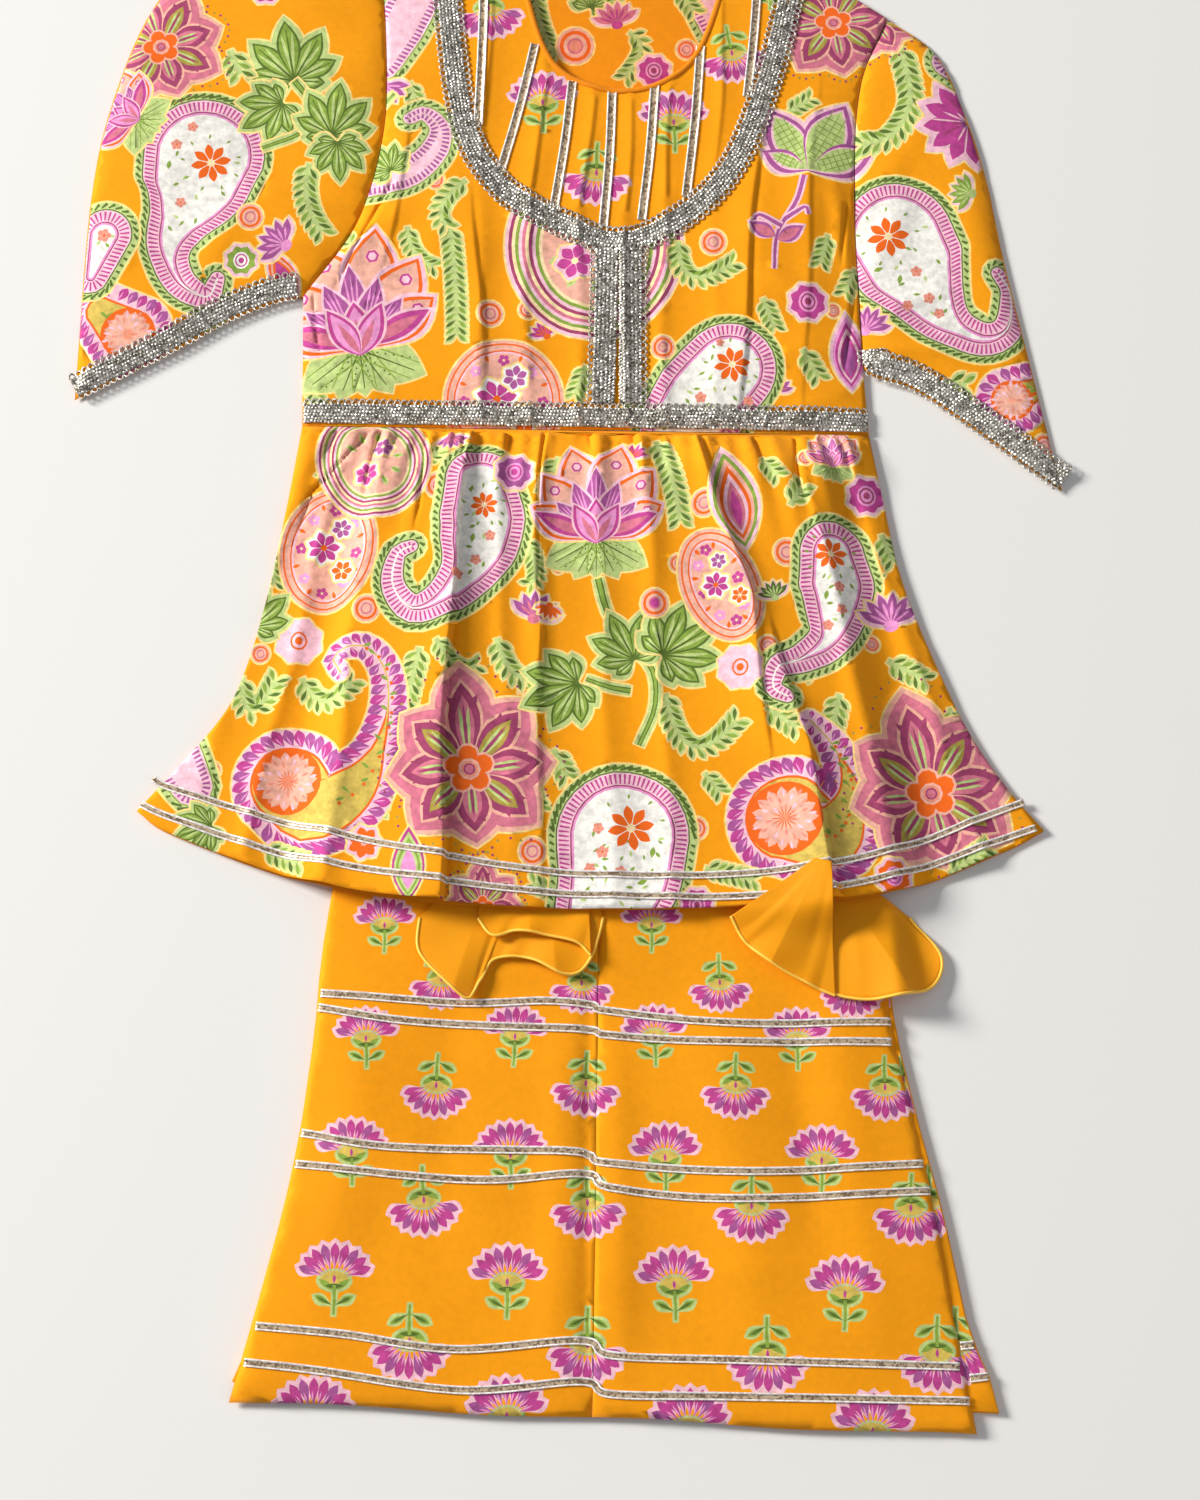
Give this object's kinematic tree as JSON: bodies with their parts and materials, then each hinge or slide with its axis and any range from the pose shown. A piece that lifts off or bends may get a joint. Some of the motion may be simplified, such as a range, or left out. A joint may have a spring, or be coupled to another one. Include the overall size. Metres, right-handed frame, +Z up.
{
  "type": "child's sharara suit, laid out flat",
  "caption": "Short flared kurta laid over folded wide sharara trousers, with the ends of a folded dupatta between them; block-printed cotton with silver trim.",
  "frame": {"origin": "on the surface that the suit lies on, under the middle of its box", "axes": "+Y from the trouser hem towards the neck, +X to the wearer's left as laid face up, +Z up from the surface"},
  "size_m": [0.5049, 0.797, 0.019],
  "materials": {
    "paisley_print": "matt printed cotton",
    "sprig_print": "matt printed cotton",
    "sheer_cloth": "sheer crisp chiffon",
    "silver_trim": "silver thread lace and ribbon"
  },
  "bodies": {
    "root": {"bodice_back": "paisley_print", "bodice_front": "paisley_print", "dupatta_end_left": "sheer_cloth", "dupatta_end_right": "sheer_cloth", "dupatta_folded": "sheer_cloth", "leg_ribbon_1_lower": "silver_trim", "leg_ribbon_1_upper": "silver_trim", "leg_ribbon_2_lower": "silver_trim", "leg_ribbon_2_upper": "silver_trim", "leg_ribbon_3_lower": "silver_trim", "leg_ribbon_3_upper": "silver_trim", "leg_under_and_inner_layers": "sprig_print", "leg_upper_back": "sprig_print", "leg_upper_front": "sprig_print", "neck_binding_back": "paisley_print", "neck_binding_front": "paisley_print", "peplum_back": "paisley_print", "peplum_front": "paisley_print", "peplum_ribbon_lower": "silver_trim", "peplum_ribbon_upper": "silver_trim", "placket_lace_left": "silver_trim", "placket_lace_right": "silver_trim", "sharara_waistband": "sprig_print", "sleeve_lace_left": "silver_trim", "sleeve_lace_right": "silver_trim", "sleeve_left": "paisley_print", "sleeve_right": "paisley_print", "waist_lace": "silver_trim", "yoke": "sprig_print", "yoke_lace": "silver_trim", "yoke_ribbon_1": "silver_trim", "yoke_ribbon_2": "silver_trim", "yoke_ribbon_3": "silver_trim", "yoke_ribbon_4": "silver_trim", "yoke_ribbon_5": "silver_trim", "yoke_ribbon_6": "silver_trim", "yoke_ribbon_7": "silver_trim"}
  },
  "joints": []
}
